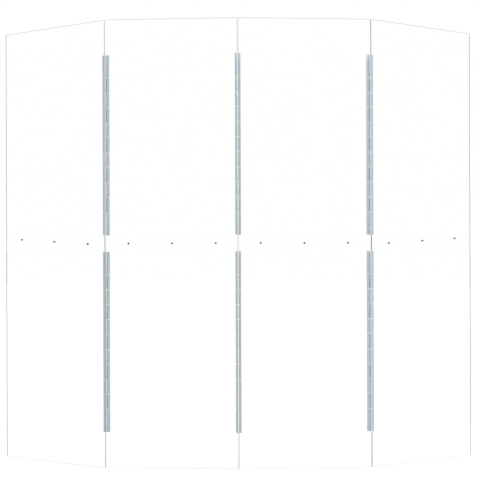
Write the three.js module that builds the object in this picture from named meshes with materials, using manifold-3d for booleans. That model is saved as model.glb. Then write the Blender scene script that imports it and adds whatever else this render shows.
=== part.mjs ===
// A folding drum shield: four clear acrylic panels joined by three lines of clear piano hinges.
// Each panel is an upper and a lower sheet, half-lapped at mid height and held by three black
// screws with sleeve nuts. The outer hinges lie on the rear faces and the centre hinge on the
// front, so the shield folds flat like an accordion.
//
// Millimetres. +X is to the right seen from the front, +Y points back to the drummer, +Z is up.
// The origin is at the middle of the footprint, on the floor.

import * as THREE from "three";
import { mergeVertices } from "three/addons/utils/BufferGeometryUtils.js";
import Module from "manifold-3d";

// Panels
const panelPitch = 450; // from one hinge axis to the next
const seamGap = 3.4; // between the edges of two panels laid flat
const sheetThickness = 5;
const lowerSheetHeight = 788;
const upperSheetHeight = 786;
const cornerRadius = 3; // the shield's own outer corners
const lapHeight = 50; // the length over which the two sheets of a panel overlap
const clearance = 0.3; // between neighbouring pieces: a cement line or a running gap

// How the shield stands: each panel's turn away from the one nearer the middle
const sideFoldDegrees = 27;
const centreFoldDegrees = 7;

// Lap screws
const screwPlaceShares = [1 / 6, 1 / 2, 5 / 6]; // of the sheet's width
const topScrewMargin = 5; // from the highest screw of an outer panel to the lap's upper edge
const headRadius = 3;
const headRelief = 0.4; // how much lower a head is than a hinge leaf
const shankRadius = 1.1;
const sleeveWall = 0.5;
const sleeveEndGap = 0.6; // from the sleeve's mouth to the sheet's front face
const socketRadius = 1.1; // the screw's hexagon socket
const socketDepth = 0.8;
const domeShare = 0.35; // of a head's height is its rounded rim

// Piano hinges
const sideLeafWidth = 12; // from the hinge axis to the leaf's outer edge
const centreLeafWidth = 9.8;
const leafThickness = 2;
const knuckleLength = 50.8; // a stock pitch; the end knuckles take up what the cut leaves over
const knuckleGap = 0.4;
const pinRadius = 1;
const pinEndInset = 1;
const barrelRelief = 0.1; // from the barrel to the plane of the sheet's face
const hingeLapGap = 2.4; // from a hinge's end to the lap
const lowerHingeMargin = 121.6; // from the lower hinge to the floor
const upperHingeMargin = 119.6; // from the upper hinge to the shield's top edge

// Facets of the round pieces
const barrelSides = 10;
const pinSides = 8;
const screwSides = 10;
const holeSides = 10;
const cornerFacets = 5;
const cutOverrun = 1; // how far a cutting block reaches past what it cuts

// Worked out from the values above
const sheetWidth = panelPitch - seamGap;
const shieldHeight = lowerSheetHeight + upperSheetHeight - lapHeight;
const lapTop = lowerSheetHeight;
const lapBottom = lapTop - lapHeight;
const tongueThickness = (sheetThickness - clearance) / 2;
const screwRowHeight = (lapTop + lapBottom) / 2;
const screwRowClimb = lapTop - topScrewMargin - screwRowHeight;
const leafReach = clearance + leafThickness; // from the sheet's face over the cement and the leaf
const axisStandoff = leafReach + clearance; // half of the space between two folded panels
const barrelRadius = axisStandoff - barrelRelief;
const headHeight = leafThickness - headRelief;
const sleeveBoreRadius = shankRadius + clearance;
const sleeveRadius = sleeveBoreRadius + sleeveWall;
const holeRadius = sleeveRadius + clearance;
const sideFold = THREE.MathUtils.degToRad(sideFoldDegrees);
const halfCentreFold = THREE.MathUtils.degToRad(centreFoldDegrees) / 2;

const wasm = await Module();
wasm.setup();

// Solids that are joined or cut

function solidFrom(geometry) {
  const bare = geometry.index ? geometry.toNonIndexed() : geometry.clone();
  bare.deleteAttribute("normal");
  bare.deleteAttribute("uv");
  const merged = mergeVertices(bare);
  return new wasm.Manifold(
    new wasm.Mesh({
      numProp: 3,
      vertProperties: merged.attributes.position.array,
      triVerts: new Uint32Array(merged.index.array),
    }),
  );
}

function geometryFrom(solid) {
  const mesh = solid.getMesh();
  const geometry = new THREE.BufferGeometry();
  geometry.setAttribute("position", new THREE.BufferAttribute(mesh.vertProperties, mesh.numProp));
  geometry.setIndex(new THREE.BufferAttribute(mesh.triVerts, 1));
  const faceted = geometry.toNonIndexed();
  faceted.computeVertexNormals();
  return faceted;
}

// The circle radius at which a polygon of this many sides lies outside a circle of the given radius
function circumscribed(radius, sides) {
  return radius / Math.cos(Math.PI / sides);
}

// A shape extruded along Z, with each of its arcs in this number of sides
function prism(shape, depth, sides) {
  return new THREE.ExtrudeGeometry(shape, { depth, bevelEnabled: false, curveSegments: sides / 2 });
}

// A turned solid whose profile of [radius, distance] points runs along the front-to-back axis
function turnedSolid(profile, sides) {
  const points = profile.map(([radius, distance]) => new THREE.Vector2(radius, distance));
  return new THREE.LatheGeometry(points, sides);
}

// Sheets. A sheet is drawn in the panel's plane, with x from its middle, z from the floor and its
// front face at y = 0. It is outlined flat, as x and z, and then stood up.

// A quarter round about (x, z) that starts at this angle and turns anticlockwise
function addCorner(outline, x, z, startAngle) {
  for (let i = 0; i <= cornerFacets; i++) {
    const angle = startAngle + ((Math.PI / 2) * i) / cornerFacets;
    outline.lineTo(x + cornerRadius * Math.cos(angle), z + cornerRadius * Math.sin(angle));
  }
}

function upperSheetOutline() {
  const edge = sheetWidth / 2;
  const cornerMiddle = edge - cornerRadius;
  const outline = new THREE.Shape();
  outline.moveTo(-edge, lapBottom);
  outline.lineTo(edge, lapBottom);
  addCorner(outline, cornerMiddle, shieldHeight - cornerRadius, 0);
  addCorner(outline, -cornerMiddle, shieldHeight - cornerRadius, Math.PI / 2);
  return outline;
}

function lowerSheetOutline() {
  const edge = sheetWidth / 2;
  const cornerMiddle = edge - cornerRadius;
  const outline = new THREE.Shape();
  outline.moveTo(edge, lapTop);
  outline.lineTo(-edge, lapTop);
  addCorner(outline, -cornerMiddle, cornerRadius, Math.PI);
  addCorner(outline, cornerMiddle, cornerRadius, 1.5 * Math.PI);
  return outline;
}

// The middles of a lap's three screws. On an outer panel the row climbs towards the free edge;
// climbSide is 1 where that edge is on the right, -1 on the left and 0 on an inner panel.
function screwPlaces(climbSide) {
  const first = screwPlaceShares[0];
  const span = screwPlaceShares[screwPlaceShares.length - 1] - first;
  return screwPlaceShares.map((share) => {
    const along = (share - first) / span;
    const climbed = climbSide > 0 ? along : 1 - along;
    return {
      x: (share - 1 / 2) * sheetWidth,
      z: screwRowHeight + Math.abs(climbSide) * climbed * screwRowClimb,
    };
  });
}

// The outline cut through the full sheet, with its screw holes
function slabSolid(outline, places) {
  const radius = circumscribed(holeRadius, holeSides);
  for (const place of places) {
    const hole = new THREE.Path();
    hole.absarc(place.x, place.z, radius, 0, 2 * Math.PI, true);
    outline.holes.push(hole);
  }
  const slab = prism(outline, sheetThickness, holeSides);
  slab.rotateX(Math.PI / 2);
  slab.translate(0, sheetThickness, 0);
  return solidFrom(slab);
}

// The block milled away from a sheet's lap, so that only its tongue is left there
function rebateSolid(front, back, bottom, top) {
  const rebate = new THREE.BoxGeometry(sheetWidth + 2 * cutOverrun, back - front, top - bottom);
  rebate.translate(0, (front + back) / 2, (bottom + top) / 2);
  return solidFrom(rebate);
}

// Its tongue is the front half of the lap
function upperSheetGeometry(climbSide) {
  const rebate = rebateSolid(
    tongueThickness,
    sheetThickness + cutOverrun,
    lapBottom - cutOverrun,
    lapTop + clearance,
  );
  return geometryFrom(slabSolid(upperSheetOutline(), screwPlaces(climbSide)).subtract(rebate));
}

// Its tongue is the rear half of the lap
function lowerSheetGeometry(climbSide) {
  const rebate = rebateSolid(
    -cutOverrun,
    sheetThickness - tongueThickness,
    lapBottom - clearance,
    lapTop + cutOverrun,
  );
  return geometryFrom(slabSolid(lowerSheetOutline(), screwPlaces(climbSide)).subtract(rebate));
}

// Screws and sleeve nuts, on the front-to-back axis, with the sheet's front face at y = 0

function screwGeometry() {
  const shankEnd = sheetThickness - sleeveEndGap;
  const top = -clearance - headHeight;
  const rim = -clearance - headHeight * (1 - domeShare);
  const rimRadius = headRadius * (1 - domeShare / 2);
  const hexagonSides = 6;
  const screw = turnedSolid(
    [
      [0, top],
      [rimRadius, top],
      [headRadius, rim],
      [headRadius, -clearance],
      [shankRadius, -clearance],
      [shankRadius, shankEnd],
      [0, shankEnd],
    ],
    screwSides,
  );
  const socket = turnedSolid(
    [
      [0, top - cutOverrun],
      [socketRadius, top - cutOverrun],
      [socketRadius, top + socketDepth],
      [0, top + socketDepth],
    ],
    hexagonSides,
  );
  return geometryFrom(solidFrom(screw).subtract(solidFrom(socket)));
}

function sleeveNutGeometry() {
  const back = sheetThickness + clearance;
  const top = back + headHeight;
  const rim = back + headHeight * (1 - domeShare);
  const rimRadius = headRadius * (1 - domeShare / 2);
  const boreRadius = circumscribed(sleeveBoreRadius, screwSides);
  return turnedSolid(
    [
      [0, back],
      [boreRadius, back],
      [boreRadius, sleeveEndGap],
      [sleeveRadius, sleeveEndGap],
      [sleeveRadius, back],
      [headRadius, back],
      [headRadius, rim],
      [rimRadius, top],
      [0, top],
    ],
    screwSides,
  );
}

// Hinges. A leaf lies along +X from its axis, which is Z, with the sheet it is cemented to behind
// it, towards +Y. It is drawn about its own mid height, so half turns put it on any seam.

// The places of a hinge's knuckles. Their count is odd, so that one leaf holds both ends, and each
// end knuckle is one to two pitches long.
function hingeLayout(bottom, top) {
  const length = top - bottom;
  const leastEndPitches = 2;
  const pairs = Math.floor((length / knuckleLength - leastEndPitches - 1) / 2);
  const middleCount = 2 * pairs + 1;
  const endLength = (length - middleCount * knuckleLength) / 2;
  const lengths = [endLength, ...Array(middleCount).fill(knuckleLength), endLength];
  const knuckles = [];
  let low = -length / 2;
  for (const knuckle of lengths) {
    knuckles.push({ low: low + knuckleGap / 2, high: low + knuckle - knuckleGap / 2 });
    low += knuckle;
  }
  return { length, middle: (bottom + top) / 2, knuckles };
}

// Section of a knuckle: the barrel round the pin, and the web that joins it to the leaf
function knuckleShape() {
  const webFront = axisStandoff - leafReach;
  const webBack = axisStandoff - clearance;
  const webEnd = barrelRadius + 2 * clearance;
  const shape = new THREE.Shape();
  const startAngle = Math.asin(Math.min(webBack, barrelRadius) / barrelRadius);
  const endAngle = 2 * Math.PI + Math.asin(webFront / barrelRadius);
  shape.moveTo(webEnd, webFront);
  shape.lineTo(webEnd, webBack);
  shape.absarc(0, 0, barrelRadius, startAngle, endAngle);
  const bore = new THREE.Path();
  bore.absarc(0, 0, circumscribed(pinRadius + clearance, pinSides), 0, 2 * Math.PI, true);
  shape.holes.push(bore);
  return shape;
}

function leafGeometry(layout, leafWidth, firstKnuckle) {
  const stripStart = barrelRadius + clearance;
  const strip = new THREE.BoxGeometry(leafWidth - stripStart, leafThickness, layout.length);
  strip.translate((leafWidth + stripStart) / 2, axisStandoff - clearance - leafThickness / 2, 0);
  let leaf = solidFrom(strip);
  for (let i = firstKnuckle; i < layout.knuckles.length; i += 2) {
    const { low, high } = layout.knuckles[i];
    const knuckle = prism(knuckleShape(), high - low, barrelSides);
    knuckle.translate(0, 0, low);
    leaf = leaf.add(solidFrom(knuckle));
  }
  return geometryFrom(leaf);
}

function pinGeometry(layout) {
  const length = layout.length - 2 * pinEndInset;
  const pin = new THREE.CylinderGeometry(pinRadius, pinRadius, length, pinSides);
  return pin.rotateX(Math.PI / 2);
}

// Materials

function clearAcrylic() {
  return new THREE.MeshStandardMaterial({
    color: 0xf4f7f8,
    roughness: 0.05,
    metalness: 0,
    transparent: true,
    opacity: 0.25,
  });
}

function hingeAcrylic() {
  return new THREE.MeshStandardMaterial({
    color: 0xb8c3c8,
    roughness: 0.3,
    metalness: 0,
    transparent: true,
    opacity: 0.8,
  });
}

function polishedSteel() {
  return new THREE.MeshStandardMaterial({ color: 0xc9d0d4, roughness: 0.25, metalness: 1 });
}

function blackFastener() {
  return new THREE.MeshStandardMaterial({ color: 0x17181a, roughness: 0.45, metalness: 0.2 });
}

function addPiece(group, name, geometry, material) {
  const piece = new THREE.Mesh(geometry, material);
  piece.name = name;
  group.add(piece);
  return piece;
}

// Assembly. A panel group has the panel's own frame: x along it and y towards its rear. Its origin
// is on the hinge axis nearer the middle of the shield.

const hingeTiers = {
  upper: hingeLayout(lapTop + hingeLapGap, shieldHeight - upperHingeMargin),
  lower: hingeLayout(lowerHingeMargin, lapBottom - hingeLapGap),
};

// The two sheets and the lap screws. side is 1 right of the centre and -1 left of it, sheetFront
// is the front face's place in the panel frame, and climbs says if the screw row rises outwards.
function addSheets(panel, panelName, side, sheetFront, climbs) {
  const climbSide = climbs ? side : 0;
  const middle = new THREE.Group();
  middle.position.set((side * panelPitch) / 2, sheetFront, 0);
  panel.add(middle);
  addPiece(middle, panelName + "_upper_sheet", upperSheetGeometry(climbSide), clearAcrylic());
  addPiece(middle, panelName + "_lower_sheet", lowerSheetGeometry(climbSide), clearAcrylic());
  screwPlaces(climbSide).forEach((place, index) => {
    const screwName = panelName + "_lap_screw_" + (index + 1);
    const nutName = panelName + "_lap_nut_" + (index + 1);
    const screw = addPiece(middle, screwName, screwGeometry(), blackFastener());
    const nut = addPiece(middle, nutName, sleeveNutGeometry(), blackFastener());
    screw.position.set(place.x, 0, place.z);
    nut.position.set(place.x, 0, place.z);
  });
}

// The leaves that one panel carries at one of its seams. toward is 1 where the leaf reaches to
// larger x and -1 to smaller. The side hinges lie behind the sheets and the centre one in front.
function addLeaves(panel, seamName, leafName, axisPlace, toward, firstKnuckle) {
  const behind = seamName !== "centre";
  const leafWidth = behind ? sideLeafWidth : centreLeafWidth;
  for (const [tierName, layout] of Object.entries(hingeTiers)) {
    const leaf = addPiece(
      panel,
      seamName + "_" + tierName + "_hinge_" + leafName,
      leafGeometry(layout, leafWidth, firstKnuckle),
      hingeAcrylic(),
    );
    if (toward < 0 && !behind) leaf.rotation.y = Math.PI;
    if (toward < 0 && behind) leaf.rotation.z = Math.PI;
    if (toward > 0 && behind) leaf.rotation.x = Math.PI;
    leaf.position.set(axisPlace.x, axisPlace.y, layout.middle);
  }
}

function addPins(panel, seamName, axisPlace) {
  for (const [tierName, layout] of Object.entries(hingeTiers)) {
    const pinName = seamName + "_" + tierName + "_hinge_pin";
    const pin = addPiece(panel, pinName, pinGeometry(layout), polishedSteel());
    pin.position.set(axisPlace.x, axisPlace.y, layout.middle);
  }
}

const shield = new THREE.Group();
const centreAxis = { x: 0, y: 0 };
for (const side of [-1, 1]) {
  const sideName = side < 0 ? "left" : "right";
  const midPanel = new THREE.Group();
  midPanel.rotation.z = side * halfCentreFold;
  shield.add(midPanel);
  addSheets(midPanel, "mid_" + sideName, side, axisStandoff, false);
  addLeaves(midPanel, "centre", sideName + "_leaf", centreAxis, side, side < 0 ? 0 : 1);

  const sideAxis = { x: side * panelPitch, y: 2 * axisStandoff + sheetThickness };
  addLeaves(midPanel, sideName, "inner_leaf", sideAxis, -side, 0);
  addPins(midPanel, sideName, sideAxis);
  if (side < 0) addPins(midPanel, "centre", centreAxis);

  const farPanel = new THREE.Group();
  farPanel.position.set(sideAxis.x, sideAxis.y, 0);
  farPanel.rotation.z = side * sideFold;
  midPanel.add(farPanel);
  addSheets(farPanel, "far_" + sideName, side, -axisStandoff - sheetThickness, true);
  addLeaves(farPanel, sideName, "outer_leaf", centreAxis, side, 1);
}

// Stand the shield on the floor with the middle of its footprint at the origin
const footprint = new THREE.Box3().setFromObject(shield, true);
const footprintMiddle = footprint.getCenter(new THREE.Vector3());
shield.position.set(-footprintMiddle.x, -footprintMiddle.y, -footprint.min.z);

export default shield;
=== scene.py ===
# A folding drum shield: four clear acrylic panels joined by three lines of clear piano hinges,
# each panel an upper and a lower sheet that are screwed together where they overlap.
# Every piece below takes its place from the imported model, rides on one of its bodies and stands
# for the nodes that it names.
#
# Metres. +X is to the right seen from the front, +Y points to the rear, +Z is up.

import math

import bmesh
import bpy
from mathutils import Matrix, Vector


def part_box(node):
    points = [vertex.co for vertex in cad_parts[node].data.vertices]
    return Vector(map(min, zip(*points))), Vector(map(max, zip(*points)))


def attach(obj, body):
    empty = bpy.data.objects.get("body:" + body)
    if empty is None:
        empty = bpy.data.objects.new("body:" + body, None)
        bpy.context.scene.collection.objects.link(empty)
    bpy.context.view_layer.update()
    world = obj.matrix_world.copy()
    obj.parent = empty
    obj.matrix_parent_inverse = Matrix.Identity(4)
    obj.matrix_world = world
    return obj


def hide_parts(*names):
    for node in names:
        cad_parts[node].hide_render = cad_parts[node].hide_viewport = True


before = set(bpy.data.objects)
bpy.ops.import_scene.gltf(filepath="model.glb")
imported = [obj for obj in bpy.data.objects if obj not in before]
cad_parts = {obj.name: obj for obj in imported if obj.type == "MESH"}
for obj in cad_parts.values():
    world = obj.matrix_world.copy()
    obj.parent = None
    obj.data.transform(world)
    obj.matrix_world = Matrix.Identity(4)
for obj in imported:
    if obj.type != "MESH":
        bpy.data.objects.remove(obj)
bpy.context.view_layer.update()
scene = bpy.context.scene
scene.view_settings.view_transform = "Standard"


# Camera. It looks level at the shield from straight in front of it, a little over three and a half
# metres away, with the lens shifted up so that the shield fills the square picture.
camera_place = (0.0058, -3.7080, 0.6640)
camera_lens = 79.62  # on a sensor 36 wide
camera_shift = 0.0673
camera_roll = math.radians(0.18)

camera = bpy.data.objects.new("camera", bpy.data.cameras.new("camera"))
camera.data.lens = camera_lens
camera.data.shift_y = camera_shift
camera.location = camera_place
camera.rotation_euler = (math.pi / 2, camera_roll, 0)
scene.collection.objects.link(camera)
scene.camera = camera


# Room. A plain pale floor in an even white surround, with one broad soft lamp from above the front.
# Floor and surround look white to the camera, in reflections and through the clear sheets, without
# giving the shield any more light.
surround_light = 0.74
lamp_light = 1.0
lamp_spread = math.radians(40)
lamp_turn = (math.radians(48), 0, math.radians(15))
floor_radius = 60
floor_sides = 64
floor_colour = (0.8, 0.8, 0.8, 1)
floor_lift = 0.32  # what brings the lit floor up to white
white = (1, 1, 1, 1)


def add_node(tree, kind, inputs=None, **settings):
    """A node whose inputs are values, or the sockets that feed them."""
    node = tree.nodes.new(kind)
    for name, value in settings.items():
        setattr(node, name, value)
    for name, value in (inputs or {}).items():
        if isinstance(value, bpy.types.NodeSocket):
            tree.links.new(value, node.inputs[name])
        else:
            node.inputs[name].default_value = value
    return node


def calculate(tree, operation, *values):
    """What a Math node makes of these values, or of the sockets that feed it."""
    return add_node(tree, "ShaderNodeMath", dict(enumerate(values)), operation=operation).outputs[0]


def largest_of(tree, values):
    """The largest of several sockets."""
    largest = values[0]
    for value in values[1:]:
        largest = calculate(tree, "MAXIMUM", largest, value)
    return largest


def seen_by_eye(tree):
    """1 for rays that make the picture: from the camera, off gloss and through clear pieces."""
    path = add_node(tree, "ShaderNodeLightPath")
    kinds = ("Is Camera Ray", "Is Glossy Ray", "Is Transmission Ray")
    return largest_of(tree, [path.outputs[kind] for kind in kinds])


def new_material(name):
    """An empty material, its tree and its output node."""
    material = bpy.data.materials.new(name)
    material.use_nodes = True
    material.node_tree.nodes.clear()
    return material, material.node_tree, add_node(material.node_tree, "ShaderNodeOutputMaterial")


surround = bpy.data.worlds.new("white_surround")
surround.use_nodes = True
tree = surround.node_tree
tree.nodes.clear()
strength = calculate(
    tree, "MULTIPLY_ADD", seen_by_eye(tree), 1 - surround_light, surround_light
)
background = add_node(tree, "ShaderNodeBackground", {"Color": white, "Strength": strength})
add_node(tree, "ShaderNodeOutputWorld", {"Surface": background.outputs[0]})
scene.world = surround

lamp = bpy.data.objects.new("soft_lamp", bpy.data.lights.new("soft_lamp", "SUN"))
lamp.data.energy = lamp_light
lamp.data.angle = lamp_spread
lamp.rotation_euler = lamp_turn
scene.collection.objects.link(lamp)

pale_floor, tree, output = new_material("pale_floor")
matt = add_node(tree, "ShaderNodeBsdfDiffuse", {"Color": floor_colour})
lift = calculate(tree, "MULTIPLY", seen_by_eye(tree), floor_lift)
glow = add_node(tree, "ShaderNodeEmission", {"Color": white, "Strength": lift})
both = add_node(tree, "ShaderNodeAddShader", {0: matt.outputs[0], 1: glow.outputs[0]})
tree.links.new(both.outputs[0], output.inputs["Surface"])

floor_mesh = bpy.data.meshes.new("floor")
shape = bmesh.new()
bmesh.ops.create_circle(shape, cap_ends=True, radius=floor_radius, segments=floor_sides)
shape.to_mesh(floor_mesh)
shape.free()
floor_mesh.materials.append(pale_floor)
floor = bpy.data.objects.new("floor", floor_mesh)
scene.collection.objects.link(floor)


# How the panels stand. Each panel is drawn in its own frame, with x along it, y towards its rear
# and the nearer hinge axis at x = 0, and is then turned about that axis to where it stands.
mid_turn = math.radians(3.5)
side_fold = math.radians(27)
far_turn = mid_turn + side_fold


def seam_axis(seam):
    """Where a seam's hinge pins stand on the floor."""
    low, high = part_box(seam + "_lower_hinge_pin")
    middle = (low + high) / 2
    return Vector((middle.x, middle.y, 0))


def panel_frame(seam, turn):
    """A frame that stands at the seam's axis, turned about it."""
    return Matrix.Translation(seam_axis(seam)) @ Matrix.Rotation(turn, 4, "Z")


panel_frames = {
    "far_left": panel_frame("left", -far_turn),
    "mid_left": panel_frame("centre", -mid_turn),
    "mid_right": panel_frame("centre", mid_turn),
    "far_right": panel_frame("right", far_turn),
}
panel_pitch = (panel_frames["mid_right"].inverted() @ seam_axis("right")).x


# Clear sheets. Each panel is an upper and a lower sheet of 5 mm cast acrylic. Their outer edges
# have a small chamfer, and most were left as the tool made them, a satin grey that painted shade
# makes lighter or darker edge by edge and stretch by stretch, so they read as thin grey lines.
# Where the two overlap each is milled to under half its thickness and polished, the upper in front.
MM = 0.001
seam_gap = 3.4 * MM
sheet_thickness = 5 * MM
sheet_width = panel_pitch - seam_gap
axis_standoff = 2.6 * MM
edge_chamfer = 0.8 * MM
corner_radius = 3 * MM
corner_steps = 12
tongue_thickness = 2.35 * MM
lap_gap = 0.3 * MM
hole_radius = 2.2 * MM
hole_sides = 32
cut_overrun = 1 * MM
smooth_angle = math.radians(35)  # from which an edge stays sharp
lap_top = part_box("mid_left_lower_sheet")[1].z
lap_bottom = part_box("mid_left_upper_sheet")[0].z
shield_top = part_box("mid_left_upper_sheet")[1].z
screw_shares = (1 / 6, 1 / 2, 5 / 6)  # of the sheet's width
screw_row_climb = 20 * MM  # on the far panels, towards the free edge

# Past polished, the finishes are one satin edge in ever darker greys: partly the edge's own grey,
# partly painted shade.
polished, satin_and_least_shade, satin_and_light_shade, satin_and_mid_shade, satin_and_deep_shade, satin_and_deepest_shade = range(6)  # a sheet's finishes, ever darker
acrylic_tint = (0.994, 0.998, 0.999, 1)
acrylic_ior = 1.49
acrylic_shadow = (0.965, 0.975, 0.978, 1)
# Greys of the satin edges, each partly the edge's own colour and partly painted shade
satin_and_least_shade_colour = (0.80, 0.82, 0.825, 1)
satin_and_light_shade_colour = (0.57, 0.59, 0.595, 1)
satin_and_mid_shade_colour = (0.42, 0.44, 0.445, 1)
satin_and_deep_shade_colour = (0.30, 0.32, 0.325, 1)
satin_and_deepest_shade_colour = (0.15, 0.165, 0.17, 1)

waves_scale = 5.0  # these three per metre
smears_scale = 14.0
tool_marks_scale = (900.0, 900.0, 60.0)
waves_bump = (0.04, 2 * MM)  # strength and depth
tool_marks_bump = (0.25, 0.3 * MM)
smears_seen = (0.5, 0.8)  # of the noise, where they start and where they are thickest
most_haze = 0.03
edge_roughness = 0.42


def add_noise(tree, place, scale, detail):
    """A noise from 0 to 1 over the place. Its scale is one number, or three for x, y and z."""
    if isinstance(scale, tuple):
        place = add_node(tree, "ShaderNodeMapping", {"Vector": place, "Scale": scale}).outputs[0]
        scale = 1.0
    values = {"Vector": place, "Scale": scale, "Detail": detail}
    return add_node(tree, "ShaderNodeTexNoise", values).outputs["Fac"]


def remap(tree, value, given, wanted):
    """The value taken from the given range to the wanted one, and kept inside that."""
    values = {"Value": value, "From Min": given[0], "From Max": given[1]}
    values.update({"To Min": wanted[0], "To Max": wanted[1]})
    return add_node(tree, "ShaderNodeMapRange", values).outputs["Result"]


def add_bump(tree, height, bump):
    """The normals of a surface whose relief is the height, at the bump's strength and depth."""
    values = {"Strength": bump[0], "Distance": bump[1], "Height": height}
    return add_node(tree, "ShaderNodeBump", values).outputs["Normal"]


def clear_acrylic_finish():
    """Polished acrylic: almost colourless, a little wavy, with a trace of haze from wiping."""
    material, tree, output = new_material("clear_acrylic")
    place = add_node(tree, "ShaderNodeTexCoord").outputs["Object"]
    waves = add_noise(tree, place, waves_scale, 1.0)
    smears = add_noise(tree, place, smears_scale, 5.0)
    clear = add_node(
        tree,
        "ShaderNodeBsdfPrincipled",
        {
            "Base Color": acrylic_tint,
            "Roughness": remap(tree, smears, smears_seen, (0, most_haze)),
            "IOR": acrylic_ior,
            "Transmission Weight": 1.0,
            "Normal": add_bump(tree, waves, waves_bump),
        },
    )
    passing = add_node(tree, "ShaderNodeBsdfTransparent", {"Color": acrylic_shadow})
    path = add_node(tree, "ShaderNodeLightPath")
    lighting = largest_of(tree, [path.outputs["Is Shadow Ray"], path.outputs["Is Diffuse Ray"]])
    mixed = add_node(
        tree, "ShaderNodeMixShader", {0: lighting, 1: clear.outputs[0], 2: passing.outputs[0]}
    )
    tree.links.new(mixed.outputs[0], output.inputs["Surface"])
    return material


def satin_edge_finish(name, colour):
    """A satin edge of the sheet, with fine marks of the tool along it."""
    material, tree, output = new_material(name)
    place = add_node(tree, "ShaderNodeTexCoord").outputs["Object"]
    marks = add_noise(tree, place, tool_marks_scale, 3.0)
    satin = add_node(
        tree,
        "ShaderNodeBsdfPrincipled",
        {
            "Base Color": colour,
            "Roughness": edge_roughness,
            "IOR": acrylic_ior,
            "Normal": add_bump(tree, marks, tool_marks_bump),
        },
    )
    tree.links.new(satin.outputs[0], output.inputs["Surface"])
    return material


def sheet_ring(inset, depth, tier):
    """A sheet's outline as points at one depth, anticlockwise from the front, its outer corners
    rounded. Its upright edges have points at the lap's shoulder and at both ends of the hinge."""
    edge = sheet_width / 2 - inset
    radius = corner_radius - inset
    low, high = (corner.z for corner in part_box(f"left_{tier}_hinge_inner_leaf"))
    if tier == "upper":
        outer, heights, first_turn = shield_top - inset, (lap_bottom, lap_top, low, high), 0
    else:
        outer, heights, first_turn = inset, (lap_top, lap_bottom, high, low), math.pi
    way = 1 if tier == "upper" else -1
    ring = [Vector((-way * edge, depth, heights[0]))]
    ring += [Vector((way * edge, depth, height)) for height in heights]
    for corner, side in enumerate((way, -way)):
        middle = Vector((side * (edge - radius), depth, outer - way * radius))
        for step in range(corner_steps + 1):
            turn = first_turn + (corner + step / corner_steps) * math.pi / 2
            ring.append(middle + radius * Vector((math.cos(turn), 0, math.sin(turn))))
    ring += [Vector((-way * edge, depth, height)) for height in heights[:0:-1]]
    return ring


def add_ring(shape, points):
    """New vertices at the points."""
    return [shape.verts.new(point) for point in points]


def bridge(shape, low_ring, high_ring):
    """The faces made between two rings of as many points."""
    faces = []
    for i in range(len(low_ring)):
        j = (i + 1) % len(low_ring)
        faces.append(shape.faces.new((low_ring[i], low_ring[j], high_ring[j], high_ring[i])))
    return faces


def new_piece(name, shape, materials):
    """An object in the scene from a bmesh, which is used up."""
    mesh = bpy.data.meshes.new(name)
    bmesh.ops.recalc_face_normals(shape, faces=shape.faces)
    shape.to_mesh(mesh)
    shape.free()
    for material in materials:
        mesh.materials.append(material)
    piece = bpy.data.objects.new(name, mesh)
    scene.collection.objects.link(piece)
    return piece


def sheet_blank(name, tier, left, right, outer, materials):
    """The sheet before its lap and holes are cut, each edge with its finish and painted shade. The
    left
    and right ones have three: in the lap, away from the hinge and along it. The faces and the lap's
    own edge are polished."""
    shape = bmesh.new()
    rings = [
        add_ring(shape, sheet_ring(edge_chamfer, 0, tier)),
        add_ring(shape, sheet_ring(0, edge_chamfer, tier)),
        add_ring(shape, sheet_ring(0, sheet_thickness - edge_chamfer, tier)),
        add_ring(shape, sheet_ring(edge_chamfer, sheet_thickness, tier)),
    ]
    first, second = (right, left) if tier == "upper" else (left, right)
    finishes = [polished, first[0], first[1], first[2], first[1]]
    finishes += [outer] * (2 * corner_steps + 1)
    finishes += [second[1], second[2], second[1], second[0]]
    for front, back in zip(rings, rings[1:]):
        for face, finish in zip(bridge(shape, front, back), finishes):
            face.material_index = finish
    shape.faces.new(rings[0])
    shape.faces.new(rings[-1])
    return new_piece(name, shape, materials)


def lap_cutters(tier, places, material):
    """What is cut from a sheet at its lap: the rebate, and the holes for the nuts."""
    reach = sheet_width / 2 + cut_overrun
    if tier == "upper":
        front, back = tongue_thickness, sheet_thickness + cut_overrun
        low, high = lap_bottom - cut_overrun, lap_top + lap_gap
    else:
        front, back = -cut_overrun, sheet_thickness - tongue_thickness
        low, high = lap_bottom - lap_gap, lap_top + cut_overrun
    shape = bmesh.new()
    size = Vector((2 * reach, back - front, high - low))
    middle = Vector((0, (front + back) / 2, (low + high) / 2))
    block = Matrix.Translation(middle) @ Matrix.Diagonal(size).to_4x4()
    bmesh.ops.create_cube(shape, size=1, matrix=block)
    rebate = new_piece("rebate_cutter", shape, [material])
    shape = bmesh.new()
    for place in places:
        drill = Matrix.Translation(place) @ Matrix.Rotation(math.pi / 2, 4, "X")
        bmesh.ops.create_cone(
            shape,
            cap_ends=True,
            segments=hole_sides,
            radius1=hole_radius,
            radius2=hole_radius,
            depth=2 * (sheet_thickness + cut_overrun),
            matrix=drill,
        )
    return rebate, new_piece("hole_cutter", shape, [material])


def screw_places(panel):
    """The middles of a panel's three lap screws, in its sheets' own frame."""
    row_height = (lap_top + lap_bottom) / 2
    climb = {"far_left": -1, "far_right": 1}.get(panel, 0)
    places = []
    for share in screw_shares:
        along = (share - screw_shares[0]) / (screw_shares[-1] - screw_shares[0])
        climbed = abs(climb) * (along if climb > 0 else 1 - along) * screw_row_climb
        places.append(Vector(((share - 0.5) * sheet_width, 0, row_height + climbed)))
    return places


def sheet_frame(panel):
    """The panel's frame, moved to the middle of its sheets and to their front face."""
    side = -1 if panel.endswith("left") else 1
    front = axis_standoff if panel.startswith("mid") else -axis_standoff - sheet_thickness
    return panel_frames[panel] @ Matrix.Translation((side * panel_pitch / 2, front, 0))


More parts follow.
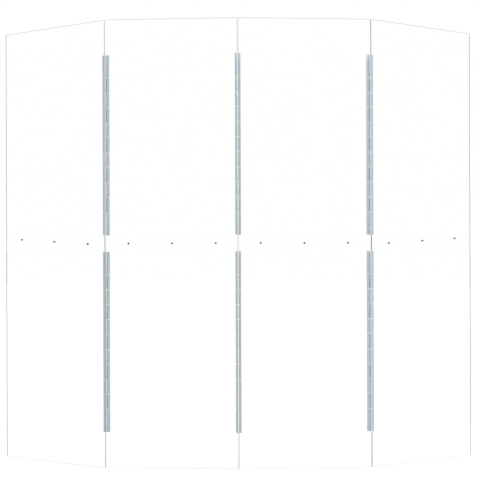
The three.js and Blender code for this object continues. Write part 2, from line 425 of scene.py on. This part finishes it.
def make_plain(piece, place):
    """The piece as its modifiers leave it, as a plain mesh put where it belongs."""
    evaluated = piece.evaluated_get(bpy.context.evaluated_depsgraph_get())
    mesh = bpy.data.meshes.new_from_object(evaluated)
    mesh.transform(place)
    mesh.shade_smooth()
    mesh.set_sharp_from_angle(angle=smooth_angle)
    piece.modifiers.clear()
    piece.data = mesh
    mesh.name = piece.name
    return piece


def fit(piece, body, nodes):
    """The piece rides on its body and stands for the nodes."""
    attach(piece, body)
    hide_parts(*nodes)


clear_acrylic = clear_acrylic_finish()
# Copies of the satin edge that differ only in how much painted shade they carry
sheet_finishes = [
    clear_acrylic,
    satin_edge_finish("frosted_acrylic_edge", satin_and_least_shade_colour),
    satin_edge_finish("sanded_acrylic_edge", satin_and_light_shade_colour),
    satin_edge_finish("milled_acrylic_edge", satin_and_mid_shade_colour),
    satin_edge_finish("scraped_acrylic_edge", satin_and_deep_shade_colour),
    satin_edge_finish("scuffed_acrylic_edge", satin_and_deepest_shade_colour),
]
# Panel, tier, and the finishes of the sheet's left edge and its right edge, each in the lap, away
# from the hinge and along it, and of its top or bottom edge. Past polished, each finish is a satin
# grey with painted shade, chosen edge by edge and stretch by stretch
sheets = (
    ("far_left", "upper", (satin_and_mid_shade, satin_and_deep_shade, satin_and_deep_shade), (satin_and_deep_shade, satin_and_light_shade, satin_and_light_shade), satin_and_light_shade),
    ("far_left", "lower", (satin_and_mid_shade, satin_and_deepest_shade, satin_and_deepest_shade), (satin_and_deep_shade, satin_and_mid_shade, satin_and_mid_shade), satin_and_least_shade),
    ("mid_left", "upper", (polished, polished, polished), (satin_and_mid_shade, satin_and_deepest_shade, satin_and_deep_shade), satin_and_light_shade),
    ("mid_left", "lower", (polished, polished, polished), (satin_and_mid_shade, satin_and_deepest_shade, satin_and_deep_shade), satin_and_least_shade),
    ("mid_right", "upper", (satin_and_mid_shade, satin_and_deep_shade, satin_and_deep_shade), (polished, polished, polished), satin_and_light_shade),
    ("mid_right", "lower", (satin_and_mid_shade, satin_and_deep_shade, satin_and_deep_shade), (polished, polished, polished), satin_and_least_shade),
    ("far_right", "upper", (satin_and_deepest_shade, satin_and_mid_shade, satin_and_least_shade), (satin_and_mid_shade, satin_and_deep_shade, satin_and_deep_shade), satin_and_light_shade),
    ("far_right", "lower", (satin_and_deepest_shade, satin_and_deep_shade, satin_and_least_shade), (satin_and_mid_shade, satin_and_deep_shade, satin_and_deepest_shade), satin_and_least_shade),
)
for panel, tier, left, right, outer in sheets:
    name = f"{tier}_sheet_of_{panel}_panel"
    sheet = sheet_blank(name, tier, left, right, outer, sheet_finishes)
    cutters = lap_cutters(tier, screw_places(panel), clear_acrylic)
    for cutter in cutters:
        cut = sheet.modifiers.new(cutter.name, "BOOLEAN")
        cut.operation = "DIFFERENCE"
        cut.solver = "EXACT"
        cut.object = cutter
    make_plain(sheet, sheet_frame(panel))
    for cutter in cutters:
        bpy.data.objects.remove(cutter)
    fit(sheet, panel + "_panel", [f"{panel}_{tier}_sheet"])


# Lap screws. Three small low round-headed screws with hexagon sockets hold each lap. They are
# blackened steel, put in from the front, and each stops at its own turn.
head_gap = 0.3 * MM  # under the head
head_height = 1.6 * MM
head_radius = 3 * MM
head_wall = 0.5 * MM  # the upright part of the rim
head_flat_radius = 1.7 * MM
socket_radius = 1.1 * MM
socket_depth = 0.8 * MM
socket_lip = 0.1 * MM
socket_sides = 6
shank_radius = 1.1 * MM
shank_end = sheet_thickness - 0.6 * MM  # short of the sheets' rear face
turned_sides = 6 * socket_sides
dome_steps = 6
widest_turn = math.pi / 3  # one side of the socket

black_colour = (0.012, 0.012, 0.013, 1)
worn_black_colour = (0.03, 0.03, 0.032, 1)
black_roughness = (0.3, 0.55)  # least and most
black_gloss = 0.3
mottle_scale = 900.0  # per metre
mottle_bump = (0.15, 0.1 * MM)


def mix_colours(tree, factor, first, second, blend="MIX"):
    """The first colour with the second mixed in by the factor."""
    values = {"Factor": factor, "A": first, "B": second}
    node = add_node(tree, "ShaderNodeMix", values, data_type="RGBA", blend_type=blend)
    return node.outputs["Result"]


def black_fastener_finish():
    """Blackened steel: near black, satin, with faint unevenness and a little bare wear."""
    material, tree, output = new_material("blackened_steel")
    place = add_node(tree, "ShaderNodeTexCoord").outputs["Object"]
    mottle = add_noise(tree, place, mottle_scale, 4.0)
    steel = add_node(
        tree,
        "ShaderNodeBsdfPrincipled",
        {
            "Base Color": mix_colours(tree, mottle, black_colour, worn_black_colour),
            "Roughness": remap(tree, mottle, (0, 1), black_roughness),
            "Specular IOR Level": black_gloss,
            "Normal": add_bump(tree, mottle, mottle_bump),
        },
    )
    tree.links.new(steel.outputs[0], output.inputs["Surface"])
    return material


def turned_shape(profile):
    """A solid turned about the front-to-back axis. The profile is (radius, distance) points, with
    a third value where that ring has so many sides, and its first and last lie on the axis."""
    shape = bmesh.new()
    rings = []
    for radius, distance, *corners in profile[1:-1]:
        ring = []
        for i in range(turned_sides):
            turn = 2 * math.pi * i / turned_sides
            reach = radius
            if corners:
                half_side = math.pi / corners[0]
                reach *= math.cos(half_side) / math.cos(turn % (2 * half_side) - half_side)
            ring.append(shape.verts.new((reach * math.cos(turn), distance, reach * math.sin(turn))))
        rings.append(ring)
    for near, far in zip(rings, rings[1:]):
        bridge(shape, near, far)
    for (_, distance, *_), ring in ((profile[0], rings[0]), (profile[-1], rings[-1])):
        pole = shape.verts.new((0, distance, 0))
        for i in range(turned_sides):
            shape.faces.new((ring[i], ring[(i + 1) % turned_sides], pole))
    return shape


def dome(rim_radius, flat_radius, rim, top):
    """Profile points of a head's rounded shoulder, from its flat middle out to its rim."""
    points = []
    for step in range(dome_steps + 1):
        turn = math.pi / 2 * step / dome_steps
        radius = flat_radius + (rim_radius - flat_radius) * math.sin(turn)
        points.append((radius, rim + (top - rim) * math.cos(turn)))
    return points


def screw_shape():
    """A lap screw, with its head in front of the sheets' front face, which is at y = 0."""
    under = -head_gap
    top = under - head_height
    return turned_shape(
        [
            (0, top + socket_depth),
            (socket_radius, top + socket_depth, socket_sides),
            (socket_radius, top + socket_lip, socket_sides),
            (socket_radius + socket_lip, top, socket_sides),
            *dome(head_radius, head_flat_radius, under - head_wall, top),
            (head_radius, under),
            (shank_radius, under),
            (shank_radius, shank_end - socket_lip),
            (shank_radius - socket_lip, shank_end),
            (0, shank_end),
        ]
    )


def new_tree(name, inputs):
    """A Geometry Nodes tree with a mesh in and out and these named inputs, and its end nodes."""
    tree = bpy.data.node_groups.new(name, "GeometryNodeTree")
    tree.interface.new_socket("Mesh", in_out="OUTPUT", socket_type="NodeSocketGeometry")
    tree.interface.new_socket("Mesh", in_out="INPUT", socket_type="NodeSocketGeometry")
    for label, kind in inputs.items():
        tree.interface.new_socket(label, in_out="INPUT", socket_type="NodeSocket" + kind)
    given = add_node(tree, "NodeGroupInput")
    made = add_node(tree, "NodeGroupOutput")
    return tree, given.outputs, made.inputs["Mesh"]


def add_tree(piece, tree, values):
    """The tree as a modifier of the piece, its named inputs set through their identifiers."""
    modifier = piece.modifiers.new(tree.name, "NODES")
    modifier.node_group = tree
    for item in tree.interface.items_tree:
        if item.name in values:
            modifier[item.identifier] = values[item.name]


def fastener_row_tree():
    """Repeats a fastener along a straight row, each one turned about its own axis at random."""
    tree, given, made = new_tree(
        "fastener_row",
        {
            "Count": "Int",
            "First Place": "Vector",
            "Step": "Vector",
            "Widest Turn": "Float",
            "Seed": "Int",
            "Finish": "Material",
        },
    )
    row = add_node(
        tree,
        "GeometryNodeMeshLine",
        {"Count": given["Count"], "Start Location": given["First Place"], "Offset": given["Step"]},
    )
    turn = add_node(
        tree,
        "FunctionNodeRandomValue",
        {"Max": given["Widest Turn"], "Seed": given["Seed"]},
        data_type="FLOAT",
    )
    about_axis = add_node(tree, "ShaderNodeCombineXYZ", {"Y": turn.outputs["Value"]})
    turned = add_node(tree, "FunctionNodeEulerToRotation", {"Euler": about_axis.outputs[0]})
    placed = add_node(
        tree,
        "GeometryNodeInstanceOnPoints",
        {"Points": row.outputs[0], "Instance": given["Mesh"], "Rotation": turned.outputs[0]},
    )
    solid = add_node(tree, "GeometryNodeRealizeInstances", {"Geometry": placed.outputs[0]})
    finished = add_node(
        tree,
        "GeometryNodeSetMaterial",
        {"Geometry": solid.outputs[0], "Material": given["Finish"]},
    )
    tree.links.new(finished.outputs[0], made)
    return tree


def add_fastener_row(name, shape, panel, seed, finish, nodes):
    """A piece that has one of the fasteners at each of the panel's screw places."""
    places = screw_places(panel)
    row = new_piece(name, shape, [finish])
    row_inputs = {
        "Count": len(places),
        "First Place": places[0],
        "Step": places[1] - places[0],
        "Widest Turn": widest_turn,
        "Seed": seed,
        "Finish": finish,
    }
    add_tree(row, fastener_row, row_inputs)
    make_plain(row, sheet_frame(panel))
    fit(row, panel + "_panel", nodes)


fastener_row = fastener_row_tree()
black_fastener = black_fastener_finish()
for seed, panel in enumerate(panel_frames):
    screws = [f"{panel}_lap_screw_{i}" for i in (1, 2, 3)]
    name = f"lap_screws_of_{panel}_panel"
    add_fastener_row(name, screw_shape(), panel, seed, black_fastener, screws)


# Sleeve nuts. Behind each lap screw is a blackened steel nut with a low domed head and a tapped
# sleeve that fills the hole through both sheets.
sleeve_bore = 1.4 * MM
sleeve_radius = 1.9 * MM
sleeve_start = 0.6 * MM
sleeve_lip = 0.15 * MM
nut_flat_radius = 1.4 * MM
first_nut_seed = 10


def sleeve_nut_shape():
    """A sleeve nut, with its head behind the sheets' rear face."""
    back = sheet_thickness + head_gap
    top = back + head_height
    return turned_shape(
        [
            (0, back),
            (sleeve_bore, back),
            (sleeve_bore, sleeve_start + sleeve_lip),
            (sleeve_bore + sleeve_lip, sleeve_start),
            (sleeve_radius - sleeve_lip, sleeve_start),
            (sleeve_radius, sleeve_start + sleeve_lip),
            (sleeve_radius, back),
            (head_radius, back),
            *reversed(dome(head_radius, nut_flat_radius, back + head_wall, top)),
            (0, top),
        ]
    )


for seed, panel in enumerate(panel_frames, start=first_nut_seed):
    nuts = [f"{panel}_lap_nut_{i}" for i in (1, 2, 3)]
    name = f"lap_nuts_of_{panel}_panel"
    add_fastener_row(name, sleeve_nut_shape(), panel, seed, black_fastener, nuts)


# Hinge leaves. Six piano hinges of clear bluish acrylic, two to a seam, are cemented to the sheets:
# behind them at the side seams and in front at the centre. A leaf is a strip whose knuckles are
# sawn so that those of its partner fit between, every second one of eleven.
leaf_widths = {"left": 12 * MM, "centre": 9.8 * MM, "right": 12 * MM}
leaf_front = 0.3 * MM
leaf_back = 2.3 * MM
strip_start = 2.8 * MM
barrel_radius = 2.5 * MM
bore_radius = 1.3 * MM
web_end = 3.4 * MM
web_relief = 0.05 * MM
knuckle_pitch = 50.8 * MM
knuckle_gap = 0.4 * MM
knuckle_count = 11
knuckle_chamfer = 0.45 * MM
chamfer_share = 0.9  # of its section that a knuckle's end keeps
slot_height = 1.0 * MM  # of the saw cut between two knuckles
slot_depth = 1.6 * MM  # that it runs into the leaf
strip_rounding = 0.2 * MM
barrel_steps = 24

leaf_colour = (0.465, 0.55, 0.59, 1)
# Painted shade for the band beside the barrel, and a painted highlight for the line down it
painted_shade_colour = (0.31, 0.43, 0.49, 1)
painted_highlight_colour = (0.96, 0.99, 1.0, 1)
sawn_colour = (0.77, 0.83, 0.85, 1)
leaf_opacity = 0.85
millimetres = 1 / MM
# Colours across a hinge, in millimetres from its painted highlight line towards its side of painted
# shade: the leaf's own colour, a painted highlight down the barrel and painted shade beside it
leaf_highlight_and_shade_bands = (
    (-2.1, leaf_colour),
    (-1.7, painted_highlight_colour),
    (1.7, painted_highlight_colour),
    (2.0, painted_shade_colour),
    (4.5, painted_shade_colour),
    (5.5, leaf_colour),
)
# What that distance is multiplied by at each seam: below 1, the bands are wider
colour_scales = {"left": 0.8, "centre": 1.0, "right": 0.8}
cut_mark = (0.6, 1.4)  # millimetres from a cut where its whitish line starts to fade, and is gone
end_mark = (0.8, 2.0)  # the same from the hinge's end
leaf_roughness = (0.22, 0.6)  # as extruded, and sawn
coat_roughness = 0.08
streaks_scale = (3.0, 3.0, 0.02)  # per millimetre
streaks_bump = (0.1, 0.2 * MM)
streaks_shade = (0.9, 1.1)


def hinge_acrylic_finish(length):
    """Extruded hinge acrylic. A painted highlight runs down the barrel with a band of painted shade
    on one side of it, and the saw left a whitish line at each cut. All are placed in millimetres."""
    material, tree, output = new_material("hinge_acrylic")
    place = add_node(
        tree, "ShaderNodeAttribute", attribute_type="GEOMETRY", attribute_name="leaf_place"
    ).outputs["Vector"]
    across, _, along = add_node(tree, "ShaderNodeSeparateXYZ", {"Vector": place}).outputs

    # The leaf's own colour with a painted highlight down the barrel and painted shade beside it
    stripes = add_node(tree, "ShaderNodeValToRGB")
    stops = stripes.color_ramp.elements
    first, last = leaf_highlight_and_shade_bands[0][0], leaf_highlight_and_shade_bands[-1][0]
    while len(stops) < len(leaf_highlight_and_shade_bands):
        stops.new(1.0)
    for stop, (distance, colour) in zip(stops, leaf_highlight_and_shade_bands):
        stop.position = (distance - first) / (last - first)
        stop.color = colour
    share = remap(tree, across, (first, last), (0, 1))
    tree.links.new(share, stripes.inputs[0])

    saw_pitch = knuckle_pitch * millimetres
    offset = calculate(tree, "ADD", along, saw_pitch / 2)
    from_cut = calculate(tree, "PINGPONG", offset, saw_pitch / 2)
    near_cut = remap(tree, from_cut, cut_mark, (1, 0))
    height = calculate(tree, "ABSOLUTE", along)
    between_ends = calculate(tree, "LESS_THAN", height, (knuckle_count // 2) * saw_pitch)
    cut = calculate(tree, "MULTIPLY", near_cut, between_ends)
    from_end = calculate(tree, "SUBTRACT", length / 2 * millimetres, height)
    near_end = remap(tree, from_end, end_mark, (1, 0))
    sawn = largest_of(tree, [cut, near_end])
    tone = mix_colours(tree, sawn, stripes.outputs["Color"], sawn_colour)

    streaks = add_noise(tree, place, streaks_scale, 3.0)
    varied = remap(tree, streaks, (0, 1), streaks_shade)
    plastic = add_node(
        tree,
        "ShaderNodeBsdfPrincipled",
        {
            "Base Color": mix_colours(tree, 1.0, tone, varied, blend="MULTIPLY"),
            "Roughness": remap(tree, sawn, (0, 1), leaf_roughness),
            "IOR": acrylic_ior,
            "Coat Weight": 1.0,
            "Coat Roughness": coat_roughness,
            "Alpha": leaf_opacity,
            "Normal": add_bump(tree, streaks, streaks_bump),
        },
    )
    tree.links.new(plastic.outputs[0], output.inputs["Surface"])
    return material


def hinge_heights(seam, tier):
    """Middle height and length of a hinge."""
    low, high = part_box(f"{seam}_{tier}_hinge_{'left' if seam == 'centre' else 'inner'}_leaf")
    return (low.z + high.z) / 2, high.z - low.z


def knuckle_shape(length):
    """One knuckle about the hinge axis: a barrel bored for the pin, and the web to its leaf."""
    front, back = leaf_front + web_relief, leaf_back - web_relief
    first = math.asin(back / barrel_radius)
    last = 2 * math.pi + math.asin(front / barrel_radius)
    turns = [first + (last - first) * i / barrel_steps for i in range(barrel_steps + 1)]
    outline = [(barrel_radius * math.cos(turn), barrel_radius * math.sin(turn)) for turn in turns]
    outline += [(web_end, front), (web_end, back)]
    missing = first + 2 * math.pi - last
    turns += [last + missing / 3, last + 2 * missing / 3]
    end = length / 2
    shape = bmesh.new()
    rings = []
    for height, share in (
        (-end, chamfer_share),
        (knuckle_chamfer - end, 1),
        (end - knuckle_chamfer, 1),
        (end, chamfer_share),
    ):
        rings.append(add_ring(shape, [(x * share, y * share, height) for x, y in outline]))
    bores = []
    around = [(bore_radius * math.cos(turn), bore_radius * math.sin(turn)) for turn in turns]
    for height in (-end, end):
        bores.append(add_ring(shape, [(x, y, height) for x, y in around]))
    for low, high in zip(rings, rings[1:]):
        bridge(shape, low, high)
    bridge(shape, bores[0], bores[1])
    bridge(shape, rings[0], bores[0])
    bridge(shape, rings[-1], bores[-1])
    return shape


def strip_shape(width, length, cuts):
    """The flat strip of a leaf, with a saw cut in its inner edge at each of these heights."""
    end = length / 2
    inner = strip_start
    deep = inner + slot_depth
    outline = [(inner, -end)]
    for cut in cuts:
        low, high = cut - slot_height / 2, cut + slot_height / 2
        outline += [(inner, low), (deep, low), (deep, high), (inner, high)]
    outline += [(inner, end), (width, end), (width, -end)]
    shape = bmesh.new()
    front = add_ring(shape, [(x, leaf_front, z) for x, z in outline])
    back = add_ring(shape, [(x, leaf_back, z) for x, z in outline])
    bridge(shape, front, back)
    shape.faces.new(front)
    shape.faces.new(back)
    return shape


def knuckled_leaf_tree():
    """Sets a leaf's knuckles on its strip: a row of middle ones, and one at each end where asked.
    It keeps each point's place from the painted highlight line, scaled, for the finish to follow."""
    tree, given, made = new_tree(
        "knuckled_leaf",
        {
            "Knuckle": "Object",
            "Count": "Int",
            "Lowest": "Vector",
            "Step": "Vector",
            "End Knuckle": "Object",
            "End Count": "Int",
            "Lower End": "Vector",
            "End Step": "Vector",
            "Bright Line": "Vector",
            "Colour Scale": "Vector",
            "Finish": "Material",
        },
    )
    rows = []
    for part, count, start, step in (
        ("Knuckle", "Count", "Lowest", "Step"),
        ("End Knuckle", "End Count", "Lower End", "End Step"),
    ):
        knuckle = add_node(tree, "GeometryNodeObjectInfo", {"Object": given[part]})
        row = add_node(
            tree,
            "GeometryNodeMeshLine",
            {"Count": given[count], "Start Location": given[start], "Offset": given[step]},
        )
        placed = add_node(
            tree,
            "GeometryNodeInstanceOnPoints",
            {"Points": row.outputs[0], "Instance": knuckle.outputs["Geometry"]},
        )
        rows.append(placed.outputs[0])
    joined = add_node(tree, "GeometryNodeJoinGeometry")
    for row in rows:
        tree.links.new(row, joined.inputs[0])
    knuckles = add_node(tree, "GeometryNodeRealizeInstances", {"Geometry": joined.outputs[0]})
    whole = add_node(tree, "GeometryNodeMeshBoolean", operation="UNION", solver="EXACT")
    for part in (given["Mesh"], knuckles.outputs[0]):
        tree.links.new(part, whole.inputs["Mesh 2"])
    place = add_node(tree, "GeometryNodeInputPosition")
    from_line = add_node(
        tree,
        "ShaderNodeVectorMath",
        {0: place.outputs[0], 1: given["Bright Line"]},
        operation="SUBTRACT",
    )
    scaled = add_node(
        tree,
        "ShaderNodeVectorMath",
        {0: from_line.outputs[0], 1: given["Colour Scale"]},
        operation="MULTIPLY",
    )
    kept = add_node(
        tree,
        "GeometryNodeStoreNamedAttribute",
        {"Geometry": whole.outputs[0], "Name": "leaf_place", "Value": scaled.outputs[0]},
        data_type="FLOAT_VECTOR",
        domain="POINT",
    )
    finished = add_node(
        tree,
        "GeometryNodeSetMaterial",
        {"Geometry": kept.outputs[0], "Material": given["Finish"]},
    )
    tree.links.new(finished.outputs[0], made)
    return tree


def leaf_frame(panel, seam, reach):
    """A leaf's own frame, with x along it from the hinge axis and its sheet behind it at +y, by
    half turns of the panel's. reach is 1 where the leaf runs to larger x and -1 to smaller."""
    axis = panel_frames[panel].inverted() @ seam_axis(seam)
    if seam == "centre":
        half_turn = Matrix.Rotation(math.pi, 4, "Y") if reach < 0 else Matrix.Identity(4)
    else:
        half_turn = Matrix.Rotation(math.pi, 4, "Z" if reach < 0 else "X")
    return panel_frames[panel] @ Matrix.Translation(axis) @ half_turn


# Seam, leaf's name, its panel, the way it reaches, whether it has the hinge's end knuckles, where
# along its own x the painted highlight line is, and on which side of that the painted shade band is
leaves = (
    ("left", "outer_leaf", "far_left", -1, False, 1.35 * MM, -1),
    ("left", "inner_leaf", "mid_left", 1, True, -1.35 * MM, 1),
    ("centre", "left_leaf", "mid_left", -1, True, 0, -1),
    ("centre", "right_leaf", "mid_right", 1, False, 0, 1),
    ("right", "inner_leaf", "mid_right", -1, True, -2.8 * MM, 1),
    ("right", "outer_leaf", "far_right", 1, False, 2.8 * MM, -1),
)

hinge_length = hinge_heights("centre", "upper")[1]
hinge_acrylic = hinge_acrylic_finish(hinge_length)
knuckled_leaf = knuckled_leaf_tree()
end_length = (hinge_length - (knuckle_count - 2) * knuckle_pitch) / 2
end_height = (hinge_length - end_length) / 2
middle_knuckle = new_piece(
    "middle_knuckle", knuckle_shape(knuckle_pitch - knuckle_gap), [hinge_acrylic]
)
end_knuckle = new_piece("end_knuckle", knuckle_shape(end_length - knuckle_gap), [hinge_acrylic])
saw_cuts = [(i - knuckle_count / 2) * knuckle_pitch for i in range(1, knuckle_count)]
for seam, leaf_name, panel, reach, has_ends, painted_highlight_place, painted_shade_side in leaves:
    for tier in ("upper", "lower"):
        middle, length = hinge_heights(seam, tier)
        leaf = new_piece(
            f"{leaf_name}_of_{seam}_{tier}_hinge",
            strip_shape(leaf_widths[seam], length, saw_cuts),
            [hinge_acrylic],
        )
        rounding = leaf.modifiers.new("rounding", "BEVEL")
        rounding.width = strip_rounding
        rounding.segments = 2
        middle_count = knuckle_count // 2 - (1 if has_ends else 0)
        lowest = -(middle_count - 1) * knuckle_pitch
        across_scale = colour_scales[seam] * millimetres
        leaf_inputs = {
            "Knuckle": middle_knuckle,
            "Count": middle_count,
            "Lowest": (0, 0, lowest),
            "Step": (0, 0, 2 * knuckle_pitch),
            "End Knuckle": end_knuckle,
            "End Count": 2 if has_ends else 0,
            "Lower End": (0, 0, -end_height),
            "End Step": (0, 0, 2 * end_height),
            # Where the painted highlight line lies, and on which side the painted shade falls
            "Bright Line": (painted_highlight_place, 0, 0),
            "Colour Scale": (painted_shade_side * across_scale, millimetres, millimetres),
            "Finish": hinge_acrylic,
        }
        add_tree(leaf, knuckled_leaf, leaf_inputs)
        place = Matrix.Translation((0, 0, middle)) @ leaf_frame(panel, seam, reach)
        make_plain(leaf, place)
        fit(leaf, panel + "_panel", [f"{seam}_{tier}_hinge_{leaf_name}"])
for knuckle in (middle_knuckle, end_knuckle):
    bpy.data.objects.remove(knuckle)


# Hinge pins. A rod of bright drawn steel runs through the knuckles of each hinge, a millimetre
# short of both ends, and is held by the end knuckles.
pin_radius = 1 * MM
pin_rounding = 0.3 * MM
pin_colour = (0.62, 0.64, 0.66, 1)
pin_panels = {"left": "mid_left", "centre": "mid_left", "right": "mid_right"}
pin_roughness = (0.2, 0.45)
drawn_lines_scale = (4000.0, 4000.0, 20.0)  # per metre


def drawn_steel_finish():
    """Bright drawn wire, with fine lines along it."""
    material, tree, output = new_material("drawn_steel")
    place = add_node(tree, "ShaderNodeTexCoord").outputs["Object"]
    lines = add_noise(tree, place, drawn_lines_scale, 2.0)
    steel = add_node(
        tree,
        "ShaderNodeBsdfPrincipled",
        {
            "Base Color": pin_colour,
            "Metallic": 1.0,
            "Roughness": remap(tree, lines, (0, 1), pin_roughness),
        },
    )
    tree.links.new(steel.outputs[0], output.inputs["Surface"])
    return material


drawn_steel = drawn_steel_finish()
for seam, panel in pin_panels.items():
    for tier in ("upper", "lower"):
        node = f"{seam}_{tier}_hinge_pin"
        low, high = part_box(node)
        half = (high.z - low.z) / 2
        pin_profile = [
            (0, -half),
            (pin_radius - pin_rounding, -half),
            (pin_radius, pin_rounding - half),
            (pin_radius, half - pin_rounding),
            (pin_radius - pin_rounding, half),
            (0, half),
        ]
        pin = new_piece(f"pin_of_{seam}_{tier}_hinge", turned_shape(pin_profile), [drawn_steel])
        upright = Matrix.Translation((low + high) / 2) @ Matrix.Rotation(math.pi / 2, 4, "X")
        make_plain(pin, upright)
        fit(pin, panel + "_panel", [node])
